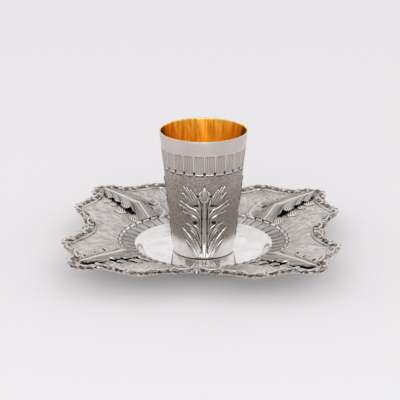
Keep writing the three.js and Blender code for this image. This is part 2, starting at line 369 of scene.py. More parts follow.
@dataclass(frozen=True)
class SilverFinish:
    """Silver that is polished or matte, oxidised in its hollows and darkened with painted shade.

    The mesh says where: its "matte" attribute runs from polished to matte, its "tarnish_and_shade"
    attribute from clean to black, for oxide and painted shade alike, and "lines" and "hatched" place the
    engraved lines.

    Attributes:
        name: the material's name.
        polished: colour where it is polished.
        matte: colour where it is matte.
        oxide_and_shade: colour of the blackened hollows and of the painted shade.
        polished_roughness: roughness where it is polished.
        matte_roughness: roughness where it is matte.
        grain: how fine the punched grain is.
        grain_depth: how strongly the grain stands out.
        pits: how dark the grain's pits are on stippled ground.
        streaks: how dark the brush strokes are.
        clouds: how strongly its tone wanders.
        sweep: how strongly the brush strokes stand out; none are made at 0.
    """

    name: str
    polished: RGB = (0.90, 0.88, 0.86)
    matte: RGB = (0.60, 0.54, 0.49)
    oxide_and_shade: RGB = (0.035, 0.028, 0.022)
    polished_roughness: float = 0.13
    matte_roughness: float = 0.42
    grain: float = 1050.0
    grain_depth: float = 0.4
    pits: float = 0.55
    streaks: float = 0.4
    clouds: float = 0.35
    sweep: float = 0.0

    @staticmethod
    def hatching(graph: Graph) -> bpy.types.NodeSocket:
        """Engraved lines, 1 in a line and 0 between, where the mesh's "hatched" attribute asks."""
        wave = graph.math("COSINE", graph.math("MULTIPLY", graph.attribute("lines"), 2 * math.pi))
        groove = graph.span(wave, (0.4, -0.9), (0, 1))
        return graph.math("MULTIPLY", groove, graph.attribute("hatched"))

    @staticmethod
    def brushing(graph: Graph) -> bpy.types.NodeSocket:
        """Noise drawn out away from the axis, in wavering strokes."""
        closeness, stretch = 0.075, 0.3
        flat = graph.vector("MULTIPLY", {0: graph.place(), 1: (1.0, 1.0, 0.0)})
        heading = graph.vector("NORMALIZE", {0: flat})
        across = graph.vector("SCALE", {0: heading, "Scale": closeness})
        reach = graph.add("VectorMath", {0: flat}, operation="LENGTH").outputs["Value"]
        drawn = graph.math("MULTIPLY", reach, stretch)
        upward = graph.add("CombineXYZ", {"Z": drawn}).outputs["Vector"]
        return graph.noise(graph.vector("ADD", {0: across, 1: upward}), 480.0, 4.0, 1.2)

    def build(self) -> bpy.types.Material:
        """Makes the material."""
        graph, material = Graph.metal(self.name)
        place, matte, tarnish_and_shade = graph.place(), graph.attribute("matte"), graph.attribute("tarnish_and_shade")
        pit_range, stippled_range = (0.58, 0.38), (0.74, 1.0)
        cloud = graph.noise(place, 90.0, 5.0)
        fine = graph.noise(place, self.grain, 3.0)
        hatch = self.hatching(graph)
        swirl = self.brushing(graph) if self.sweep else None

        worn = graph.mix(matte, (*self.polished, 1), (*self.matte, 1))
        tone = graph.ramp(cloud, 0.35, (0.78, 0.74, 0.72), 0.65, (1.0, 1.0, 1.0))
        clouded = graph.mix(self.clouds, worn, tone, "MULTIPLY")
        pitted = graph.span(fine, pit_range, (0, self.pits))
        stippled = graph.span(matte, stippled_range, (0, 1))
        # darkens towards oxide_and_shade: oxide in hollows, and painted shade where the mesh asks for it
        dark = graph.math("MULTIPLY_ADD", pitted, stippled, tarnish_and_shade)
        if swirl is not None:
            streaked = graph.span(swirl, pit_range, (0, self.streaks))
            dark = graph.math("MULTIPLY_ADD", streaked, matte, dark)
        dark = graph.math("MULTIPLY_ADD", hatch, 0.5, dark, clamp=True)
        colour = graph.mix(dark, clouded, (*self.oxide_and_shade, 1))

        dull = graph.span(matte, (0, 1), (self.polished_roughness, self.matte_roughness))
        roughness = graph.math("MULTIPLY_ADD", tarnish_and_shade, 0.3, dull)

        normal = graph.bump(graph.math("MULTIPLY", fine, matte), self.grain_depth, 0.2)
        normal = graph.bump(hatch, 0.5, 0.15, normal, invert=True)
        if swirl is not None:
            normal = graph.bump(graph.math("MULTIPLY", swirl, matte), self.sweep, 0.5, normal)
        graph.finish(colour, roughness, normal)
        return material


@dataclass(frozen=True)
class GiltFinish:
    """Polished gilding with upright burnishing streaks."""

    name: str
    pale: RGB = (1.0, 0.74, 0.25)
    deep: RGB = (0.78, 0.42, 0.08)
    roughness: float = 0.13

    def build(self) -> bpy.types.Material:
        """Makes the material."""
        graph, material = Graph.metal(self.name)
        upright = graph.add("Mapping", {"Vector": graph.place(), "Scale": (1.0, 1.0, 0.07)})
        streak = graph.noise(upright.outputs["Vector"], 420.0, 4.0)
        colour = graph.ramp(streak, 0.41, self.deep, 0.57, self.pale)
        roughness = graph.span(streak, (0, 1), (self.roughness - 0.06, self.roughness + 0.14))
        graph.finish(colour, roughness, graph.bump(streak, 0.35, 0.25))
        return material


@dataclass(frozen=True)
class PaperFinish:
    """The plain pale sheet that the set stands on."""

    name: str
    colour: RGB = (0.99, 0.98, 0.99)

    def build(self) -> bpy.types.Material:
        """Makes the material."""
        material = bpy.data.materials.new(self.name)
        material.use_nodes = True
        shader = material.node_tree.nodes["Principled BSDF"]
        shader.inputs["Base Color"].default_value = (*self.colour, 1)
        shader.inputs["Roughness"].default_value = 0.9
        shader.inputs["Specular IOR Level"].default_value = 0.1
        return material


# ---- tongues ----


@dataclass
class Chasing:
    """The relief of a chased band and its finish, as nets of numbers.

    Attributes:
        height: how far it stands up, in millimetres.
        dark: where its dots and grooves are black.
        matte: where it is matte.
        hatched: where it is hatched.
        lines: the count of hatching lines from the nearest rib.
    """

    height: np.ndarray
    dark: np.ndarray
    matte: np.ndarray
    hatched: np.ndarray
    lines: np.ndarray


@dataclass(frozen=True)
class Tongues:
    """A row of hatched tongues between ribs, closed by a scalloped lip with a drilled dot at each rib.

    Attributes:
        count: how many stand round the circle.
        rib: half of a rib's width.
        sink: depth of the panels.
        bead: height of the ribs and the lip.
        lines: hatching lines in one panel.
        scallop: how far the lip bows out between two ribs.
        lip: half of the lip's width.
        ditch: how black the groove outside the lip is.
        dot: the drilled dots' radius.
    """

    count: int
    rib: float
    sink: float
    bead: float
    lines: int
    scallop: float
    lip: float = 0.34
    ditch: float = 0.7
    dot: float = 0.9

    def relief(
        self, angle: np.ndarray, radius: np.ndarray, along: np.ndarray, length: float
    ) -> Chasing:
        """Works out the relief of the row.

        Args:
            angle: turn round the axis, with a rib at 0.
            radius: distance from the axis.
            along: distance from the open end of the tongues towards their round ends.
            length: the ribs' length.

        Returns:
            The row's relief and finish.
        """
        pitch = 2 * math.pi / self.count
        turn = np.abs((angle + pitch / 2) % pitch - pitch / 2)
        aside = turn * radius
        half = pitch / 2 * radius
        share = np.clip((aside - self.rib) / (half - self.rib), 0, 1)
        bow = np.sqrt(np.clip(1 - (1 - share) ** 2, 0, 1)) * self.scallop
        past = along - (length + bow)
        inside = smoothstep(0.0, 0.5, along) * (1 - smoothstep(-0.75, -0.45, past))
        panel = inside * smoothstep(self.rib, self.rib + 0.3, aside)
        phase = self.lines / 2 * turn / (pitch / 2) + 0 * radius
        rib = inside * np.sqrt(np.clip(1 - (aside / (self.rib * 1.1)) ** 2, 0, 1))
        flank = inside * bell(aside - self.rib, 0.15, 0.2)
        lip = bell(past, -0.05, self.lip)
        under_lip = bell(past, -0.33 - self.lip, 0.22) * (aside > self.rib)
        ditch = bell(past, 0.38 + self.lip, 0.32)
        top_line = bell(along, 0.15, 0.3) * (aside > self.rib)
        dot = bell(np.hypot(aside, along - length - 0.45), 0, self.dot, 4)
        height = (
            -self.sink * panel
            + self.bead * rib
            + self.bead * 1.2 * lip * (1 - dot)
            + 0.5 * self.bead * top_line
            - 0.12 * ditch
            - 0.6 * dot
        )
        dark = dot * 1.2 + self.ditch * ditch + 0.5 * flank + 0.35 * under_lip
        matte = 0.2 * inside + 0.55 * panel + 0.15 * lip
        return Chasing(height, np.clip(dark, 0, 1), matte, panel, phase)


# ---- the cup ----


@dataclass
class Cup:
    """The beaker, with its tongues and plants.

    Attributes:
        low: the lower corner of the box that it fills, in metres.
        high: the box's upper corner.
        wall: the wall's thickness.
        floor: the floor's thickness.
        taper: how much smaller the foot's radius is than the rim's.
        turn: how far it is turned on the saucer, in degrees.
        plain_from: height where the plain band under the rim starts.
        tongue_length: the length of the tongues below that.
        field_high: height where the stippled field ends, under the tongues.
        field_low: height where the field has given way to the polished foot.
        lip: the height of the roundings at the foot and the rim.
        corner: radius of the rounding between the inner wall and the floor.
        columns: points round the axis.
        plants: how many plants stand round it.
        stipple_seed: the seed of the stipple.
        tongues: the band of tongues.
    """

    low: Vector
    high: Vector
    wall: float = 0.8
    floor: float = 1.0
    taper: float = 8.9
    turn: float = 4.5
    plain_from: float = 72.2
    tongue_length: float = 11.7
    field_high: float = 59.0
    field_low: float = 13.0
    lip: float = 0.35
    corner: float = 2.6
    columns: int = 432
    plants: int = 3
    stipple_seed: int = 7
    tongues: Tongues = Tongues(24, 0.36, 0.16, 0.17, 6, 1.5)

    @property
    def height(self) -> float:
        """The cup's height."""
        return (self.high.z - self.low.z) / MM

    @property
    def rim(self) -> float:
        """The rim's radius."""
        return (self.high.x - self.low.x) / 2 / MM

    def radius(self, z: np.ndarray) -> np.ndarray:
        """The plain wall's outer radius at a height above the foot."""
        return self.rim - self.taper * (1 - z / self.height)

    def profile(self) -> tuple[np.ndarray, np.ndarray, int, int]:
        """The turned profile, from under the foot over the rim to the middle of the floor.

        Returns:
            Radii, heights, and the first and last row of the outer wall.
        """
        lip, corner, top = self.lip, self.corner, self.height
        tongues_from = 58.4
        foot = float(self.radius(0.0))
        under = [(foot * s, 0.0) for s in (0, 0.3, 0.7, 0.94)] + [(foot - lip, 0.0)]
        heights = np.concatenate([
            np.linspace(lip, tongues_from, 150, endpoint=False),
            np.linspace(tongues_from, self.plain_from + 0.5, 44, endpoint=False),
            np.linspace(self.plain_from + 0.5, top - lip, 7),
        ])
        wall = list(zip(self.radius(heights), heights))
        inner = lambda z: float(self.radius(z)) - self.wall
        edge = [
            (self.rim - 0.12, top - 0.1),
            (self.rim - self.wall / 2, top),
            (inner(top) + 0.1, top - 0.12),
        ]
        near_lip = [top - 0.4, top - 0.7]
        down = [(inner(z), z) for z in near_lip + list(np.linspace(top - 1.6, self.floor + corner, 12))]
        base = inner(self.floor) - corner
        bowl = [
            (base + corner * math.cos(a), self.floor + corner * (1 - math.sin(a)))
            for a in np.linspace(0.35, math.pi / 2, 5)
        ]
        flat = [(base * s, self.floor) for s in (0.7, 0.35, 0)]
        rows = np.array(under + wall + edge + down + bowl + flat)
        first = len(under)
        return rows[:, 0], rows[:, 1], first, first + len(heights) - 1

    def strokes(self) -> tuple[list[Stroke], list[Stroke]]:
        """The ridges of one plant's right half, as distance from the stalk and height.

        Returns:
            Its plain ridges, and its fingers, which have a groove down the middle.
        """
        bodies = [
            # broad low ground of each leaf: start, bend, end, half width
            ((2.6, 30.0), (3.6, 39.5), (10.6, 47.8), 3.4),
            ((2.4, 22.0), (4.2, 32.0), (12.6, 36.6), 3.5),
            ((2.4, 12.0), (4.0, 20.0), (8.8, 22.0), 2.6),
            ((2.0, 1.0), (4.6, 9.0), (11.6, 17.4), 2.6),
        ]
        veins = [
            # the rims and arms that run out of the stalk: start, bend, end, half width
            ((2.6, 30.0), (3.1, 38.0), (4.6, 42.6), 0.55), ((3.4, 35.0), (8.0, 34.4), (12.4, 39.0), 0.6),
            ((2.7, 28.5), (3.6, 33.4), (7.4, 35.9), 0.6), ((2.6, 20.5), (3.6, 29.4), (8.9, 31.4), 0.6),
            ((2.6, 17.6), (3.6, 23.2), (7.8, 24.6), 0.6), ((2.6, 8.0), (3.6, 17.6), (8.8, 22.4), 0.6),
            ((2.4, 5.0), (3.3, 10.6), (6.6, 14.8), 0.65),
        ]
        fingers = [
            # the upper leaf, from the stalk outwards
            ((4.7, 40.4), (6.4, 44.4), (9.0, 49.2), 1.0), ((5.9, 39.4), (8.2, 44.4), (11.3, 50.4), 1.0),
            ((7.0, 38.7), (9.7, 43.4), (13.3, 51.0), 1.05),
            ((8.5, 38.9), (11.1, 42.2), (14.0, 46.2), 0.95),
            # the leaf under it
            ((8.9, 34.6), (11.6, 37.2), (15.4, 40.6), 0.75),
            ((8.8, 32.6), (11.8, 34.6), (15.5, 37.4), 0.75),
            ((8.4, 30.9), (11.2, 31.8), (14.2, 33.4), 0.7),
            # the third
            ((3.2, 11.0), (5.0, 17.6), (9.4, 20.4), 0.75), ((7.6, 22.4), (9.4, 23.6), (11.8, 25.0), 0.65),
            # the bright loops at the foot
            ((3.4, 1.6), (7.0, 12.0), (13.9, 21.0), 1.5), ((4.8, 0.8), (8.4, 7.6), (12.0, 12.8), 1.35),
        ]
        plain = [Stroke(start, bend, end, wide, 0.3, 0.8) for start, bend, end, wide in bodies]
        plain += [Stroke(start, bend, end, wide, 0.75, 0.7) for start, bend, end, wide in veins]
        plain += [
            # the stalk: its side strands, which turn out into the upper leaf, and its broad middle
            Stroke((2.55, 0.4), (2.3, 24.0), (2.5, 36.0), 0.55, 0.9, 0.9),
            Stroke((2.5, 33.0), (2.4, 39.0), (4.4, 42.6), 0.55, 0.95, 0.6),
            Stroke((0.0, 0.4), (0.0, 22.0), (0.0, 44.0), 1.45, 0.8, 0.95),
            # the bud's two side lobes and its middle
            Stroke((1.0, 40.4), (4.4, 43.8), (1.9, 48.4), 1.35, 0.9, 0.7),
            Stroke((0.0, 42.4), (0.0, 46.0), (0.0, 51.2), 1.9, 1.25, 0.5),
        ]
        return plain, [Stroke(start, bend, end, wide, 1.0, 0.8) for start, bend, end, wide in fingers]

    def shade_gullies(self) -> list[Stroke]:
        """The gullies beside the stalk and over the arms that leave it, cut shallow and painted black as
        painted shade.
        """
        lines = (
            # start, bend, end, half width
            ((1.95, 4.0), (1.95, 9.0), (1.9, 17.0), 0.45), ((1.9, 14.0), (1.8, 21.0), (1.75, 27.5), 0.5),
            ((1.75, 24.0), (1.7, 32.0), (2.2, 38.5), 0.5), ((2.2, 36.0), (2.4, 40.5), (4.0, 44.2), 0.5),
            ((2.7, 25.5), (3.2, 29.6), (6.6, 31.4), 0.45), ((2.7, 22.0), (3.0, 26.0), (5.4, 29.0), 0.4),
            ((2.9, 31.5), (3.8, 34.8), (6.6, 36.6), 0.4), ((2.6, 12.0), (3.4, 18.6), (6.8, 22.2), 0.45),
            ((2.5, 7.0), (3.2, 12.4), (5.6, 15.4), 0.45), ((3.6, 13.0), (5.2, 18.4), (8.4, 21.4), 0.35),
            ((4.6, 40.4), (3.9, 41.6), (5.2, 43.6), 0.35), ((6.6, 29.6), (9.0, 31.0), (12.6, 31.6), 0.3),
        )
        return [Stroke(start, bend, end, wide, 0.85, 0.6) for start, bend, end, wide in lines]

    def plant(self, x: np.ndarray, z: np.ndarray) -> tuple[np.ndarray, np.ndarray]:
        """The relief of a plant, and its drilled holes and painted-shade gullies, on one sector of the
        wall.
        """
        relief = np.zeros_like(x)
        grooves = np.zeros_like(x)
        aside = np.abs(x)
        plain, fingers = self.strokes()
        for stroke in plain + fingers:
            stroke.raise_on(aside, z, relief)
        for finger in fingers:
            replace(finger, half_width=0.4 * finger.half_width, height=0.4).raise_on(aside, z, grooves)
        relief = np.maximum(relief - grooves, 0)
        holes = 1.0 * grooves
        # the gullies are cut shallow and painted black: painted shade over the arms and beside the stalk
        for cut in self.shade_gullies():
            cut.raise_on(aside, z, holes)
        for hx, hz, size in (
            (5.0, 37.8, 1.15), (6.6, 37.5, 0.75), (5.9, 26.0, 1.25), (7.0, 25.7, 0.7), (4.9, 13.4, 0.55),
            (1.75, 28.4, 0.7), (1.95, 18.8, 0.7), (2.15, 8.5, 0.65), (4.1, 44.6, 0.9),
        ):
            holes = np.maximum(holes, bell(np.hypot((aside - hx) / 1.1, z - hz), 0, size, 4))
        return relief, holes

    def lattice(self) -> Lattice:
        """The whole surface, outside and inside, as a net of points."""
        radii, heights, first, last = self.profile()
        sector = self.columns // self.plants
        turn = np.linspace(-math.pi / self.plants, math.pi / self.plants, sector, endpoint=False)
        z = heights[first : last + 1][:, None] + 0 * turn[None, :]
        r = self.radius(z)
        flower, holes = self.plant(r * np.sin(turn)[None, :], z)
        band = self.tongues.relief(turn[None, :] + 0 * z, r, self.plain_from - z, self.tongue_length)
        on_field = smoothstep(self.field_low - 5, self.field_low + 2, z)
        on_field = on_field * (1 - smoothstep(self.field_high, self.field_high + 0.6, z))
        bare = 1 - smoothstep(0.02, 0.3, flower)
        stipple = speckle(z.shape, self.stipple_seed) * 0.03 * on_field * bare
        plain = 0.72 * smoothstep(self.plain_from - 0.2, self.plain_from + 0.2, z)
        ends = smoothstep(0.0, 1.0, z - 0.3)
        relief = (flower * ends + stipple - 0.42 * holes) + band.height
        grids = (relief, flower, holes, bare, on_field, plain, *vars(band).values())
        relief, flower, holes, bare, on_field, plain, *chased = (
            np.tile(grid, (1, self.plants)) for grid in grids
        )
        band = Chasing(*chased)
        outline = smoothstep(0.0, 0.1, blurred(flower, 3)) * bare
        crease = hollows(relief, 4, 0.14) * smoothstep(0.01, 0.1, blurred(flower, 2))
        crest = np.clip((flower - blurred(flower, 5)) / 0.16, 0, 1)
        # oxide in the creases, holes and tongues, and painted shade in the gullies
        tarnish_and_shade = np.clip(0.65 * crease + 0.3 * outline + holes + band.dark, 0, 1)
        ground = on_field * (1 - 0.95 * crest) * (1 - 0.75 * (1 - bare))
        matte = np.clip(np.maximum(np.maximum(ground, band.matte), plain), 0, 1)
        count = len(radii)
        full = lambda part: np.vstack(
            [np.zeros((first, self.columns)), part, np.zeros((count - last - 1, self.columns))]
        )
        angle = np.linspace(0, 2 * math.pi, self.columns, endpoint=False)
        azimuth = angle - math.pi / 2 - math.pi / self.plants + math.radians(self.turn)
        out = radii[:, None] + full(relief)
        xyz = np.stack(
            [out * np.cos(azimuth), out * np.sin(azimuth), heights[:, None] + 0 * out], axis=2
        )
        xyz[:, :, 2] += self.low.z / MM
        inside = np.zeros((count, self.columns))
        inside[last + 1 :] = 1
        values = {
            "tarnish_and_shade": full(tarnish_and_shade), "matte": full(matte), "inside": inside,
            "lines": full(band.lines), "hatched": full(band.hatched),
        }
        return Lattice.closed(xyz, values)

    def build(self, silver: bpy.types.Material, gilt: bpy.types.Material) -> bpy.types.Object:
        """Makes the cup and dresses it."""
        cup = grid_object("beaker", self.lattice())
        weld(cup)
        shade(cup, 60)
        cup.data.materials.append(silver)
        cup.data.materials.append(gilt)
        paint_inside(cup)
        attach(cup, BODY)
        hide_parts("cup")
        return cup


def paint_inside(obj: bpy.types.Object) -> None:
    """Gives the gilt to the faces whose points are all marked as inside."""
    mesh = obj.data
    inside = np.empty(len(mesh.vertices), dtype=np.float32)
    mesh.attributes["inside"].data.foreach_get("value", inside)
    loops = np.empty(len(mesh.loops), dtype=np.int32)
    mesh.loops.foreach_get("vertex_index", loops)
    starts = np.empty(len(mesh.polygons), dtype=np.int32)
    mesh.polygons.foreach_get("loop_start", starts)
    lowest = np.minimum.reduceat(inside[loops], starts)
    index = np.where(lowest > 0.5, Zone.GILT.value, Zone.SILVER.value).astype(np.int32)
    mesh.polygons.foreach_set("material_index", index)
    mesh.attributes.remove(mesh.attributes["inside"])


# ---- the saucer ----


@dataclass
class SaucerForm:
    """The saucer's plan and section, which its dish, border and leaves share.

    Attributes:
        thickness: the sheet's thickness.
        floor_radius: where the well's flat floor ends and the cove starts.
        cove_radius: where the cove ends and the ring of tongues starts.
        ring_radius: where the ring ends and the brim starts.
        cove_rise: height gained over the cove.
        ring_rise: height gained by the ring's outer edge.
        brim_rise: the height that the brim levels out to.
        brim_reach: how far out it takes to do most of that.
        side_edge: the outline from the middle of a side to the corner.
        corner: the outline's corner.
    """

    thickness: float = 0.9
    floor_radius: float = 38.0
    cove_radius: float = 46.0
    ring_radius: float = 55.0
    cove_rise: float = 4.6
    ring_rise: float = 6.7
    brim_rise: float = 15.2
    brim_reach: float = 14.0
    side_edge: tuple[tuple[float, float, float], ...] = (
        # x, y and the border's reach past the sheet, from the middle of a side to the corner
        (73.8, 0, 3.0), (74.6, 7, 4.2), (77.4, 16, 4.6), (81.6, 25.5, 3.0), (87.0, 33.6, 2.2),
        (85.2, 42, 2.0), (80.0, 51.5, 2.0), (76.6, 60.5, 1.8), (79.2, 68, 2.8), (77.8, 73, 2.2),
    )
    corner: tuple[float, float, float] = (76.6, 76.6, 2.4)

    def rise(self, radius: np.ndarray) -> np.ndarray:
        """Height of the sheet's upper side above the well's floor."""
        radius = np.asarray(radius, dtype=float)
        cove = np.clip((radius - self.floor_radius) / (self.cove_radius - self.floor_radius), 0, 1)
        ring = np.clip((radius - self.cove_radius) / (self.ring_radius - self.cove_radius), 0, 1)
        past = np.maximum(radius - self.ring_radius, 0)
        return (
            self.cove_rise * (1 - np.cos(math.pi * cove)) / 2
            + (self.ring_rise - self.cove_rise) * ring
            + (self.brim_rise - self.ring_rise) * (1 - np.exp(-past / self.brim_reach))
        )

    def edge(self) -> np.ndarray:
        """The whole edge as a dense closed line of x, y and reach, from the middle of the +X side."""
        half = list(self.side_edge)
        quarter = half + [self.corner] + [(y, x, r) for x, y, r in reversed(half[1:])]
        points = []
        for turn in range(4):
            points += [(*quarter_turned(x, y, turn), r) for x, y, r in quarter]
        p = np.array(points, dtype=float)
        before, after, later = np.roll(p, 1, 0), np.roll(p, -1, 0), np.roll(p, -2, 0)
        t = np.linspace(0, 1, 24, endpoint=False)[None, :, None]
        p0, p1, p2, p3 = (q[:, None, :] for q in (before, p, after, later))
        line = 0.5 * (
            2 * p1 + (p2 - p0) * t + (2 * p0 - 5 * p1 + 4 * p2 - p3) * t**2
            + (3 * p1 - p0 - 3 * p2 + p3) * t**3
        )
        return line.reshape(-1, 3)

    def edge_radius(self, angle: np.ndarray) -> np.ndarray:
        """The edge's distance from the axis in given directions."""
        line = self.edge()
        around = np.unwrap(np.arctan2(line[:, 1], line[:, 0]))
        reach = np.hypot(line[:, 0], line[:, 1])
        order = np.argsort(around)
        turn = 2 * math.pi
        low = around[order][0]
        return np.interp((angle - low) % turn + low, around[order], reach[order], period=turn)


@dataclass
class Dish:
    """The raised sheet of the saucer.

    Attributes:
        form: its plan and section.
        columns: points round the axis.
        tongues: the ring of tongues.
        tongue_length: how long they are.
        leaf_root: where the shade under a corner leaf starts, along the diagonal.
        leaf_tip: where it ends.
        leaf_half_width: half of its greatest width.
    """

    form: SaucerForm
    columns: int = 672
    tongues: Tongues = Tongues(48, 0.55, 0.35, 0.8, 5, 1.3, 0.75, 1.0, 0.85)
    tongue_length: float = 8.6
    leaf_root: float = 55.0
    leaf_tip: float = 103.0
    leaf_half_width: float = 10.8

    def rows(self) -> list[tuple[float, float, float]]:
        """The section's rows as (radius, share of the way from the ring to the edge, drop)."""
        f = self.form
        top = [(r, 0.0, 0.0) for r in (0, 12, 24, 34)]
        top += [(r, 0.0, 0.0) for r in np.linspace(f.floor_radius, f.cove_radius - 1.5, 12)]
        top += [(r, 0.0, 0.0) for r in np.linspace(f.cove_radius - 1.1, f.ring_radius + 2.4, 42)]
        top += [(f.ring_radius + 2.4, s, 0.0) for s in np.linspace(0, 1, 30)[1:]]
        under = [(f.ring_radius + 2.4, s, f.thickness) for s in np.linspace(1, 0, 12)]
        bottom = np.linspace(f.ring_radius, f.floor_radius + 0.6, 12)
        under += [(r, 0.0, f.thickness + 0.3) for r in bottom[:-1]]
        under += [(r, 0.0, f.thickness) for r in (f.floor_radius + 0.4, 24, 12, 0)]
        return top + under

    def lattice(self) -> Lattice:
        """The whole surface of the sheet as a net of points."""
        f = self.form
        angle = np.linspace(0, 2 * math.pi, self.columns, endpoint=False)
        rows = np.array(self.rows())
        edge = f.edge_radius(angle)
        base, share, drop = (rows[:, k][:, None] for k in range(3))
        radius = base + (edge[None, :] - base) * share
        upper = (drop == 0) + 0 * radius
        along = radius - f.cove_radius + 0.4
        band = self.tongues.relief(angle[None, :] + 0 * radius, radius, along, self.tongue_length)
        on_ring = upper * smoothstep(f.cove_radius - 1.5, f.cove_radius - 0.5, radius)
        on_ring = on_ring * (1 - smoothstep(f.ring_radius + 2.0, f.ring_radius + 2.6, radius))
        relief = band.height * on_ring
        z = f.thickness + f.rise(radius) - drop + relief
        matte = upper * smoothstep(f.ring_radius + 0.6, f.ring_radius + 1.6, radius)
        matte = np.maximum(matte, band.matte * on_ring)
        # painted shade along the sheet's outer edge, where the border sits on it
        border_edge_shade = upper * smoothstep(0.93, 1.0, share + 0 * radius) * 0.6
        tarnish_and_shade = np.clip(on_ring * (band.dark + 0.2 * hollows(relief, 4, 0.3)) + border_edge_shade, 0, 1)
        # painted shade under each corner leaf's raised edge
        tarnish_and_shade = np.maximum(tarnish_and_shade, 0.94 * upper * self.painted_leaf_shade(radius, angle[None, :]))
        xyz = np.stack([radius * np.cos(angle), radius * np.sin(angle), z], axis=2)
        values = {
            "tarnish_and_shade": tarnish_and_shade, "matte": matte,
            "lines": band.lines, "hatched": 0.7 * band.hatched * on_ring,
        }
        return Lattice.closed(xyz, values)

    def painted_leaf_shade(self, radius: np.ndarray, angle: np.ndarray) -> np.ndarray:
        """Painted shade on the sheet under a corner leaf, from 0 to 1."""
        off = (angle % (math.pi / 2)) - math.pi / 4
        along, side = radius * np.cos(off), np.abs(radius * np.sin(off))
        share = np.clip((along - self.leaf_root) / (self.leaf_tip - self.leaf_root), 0, 1)
        half = self.leaf_half_width * np.sqrt(np.clip(1 - ((share - 0.2) / 0.82) ** 2, 0, 1))
        inside = (along > self.leaf_root) * (along < self.leaf_tip)
        return inside * (1 - smoothstep(half - 1.8, half - 0.2, side))

    def build(self, silver: bpy.types.Material) -> bpy.types.Object:
        """Makes the dish and dresses it."""
        dish = grid_object("dish", self.lattice())
        weld(dish)
        shade(dish, 50)
        dish.data.materials.append(silver)
        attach(dish, BODY)
        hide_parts("saucer_dish")
        return dish


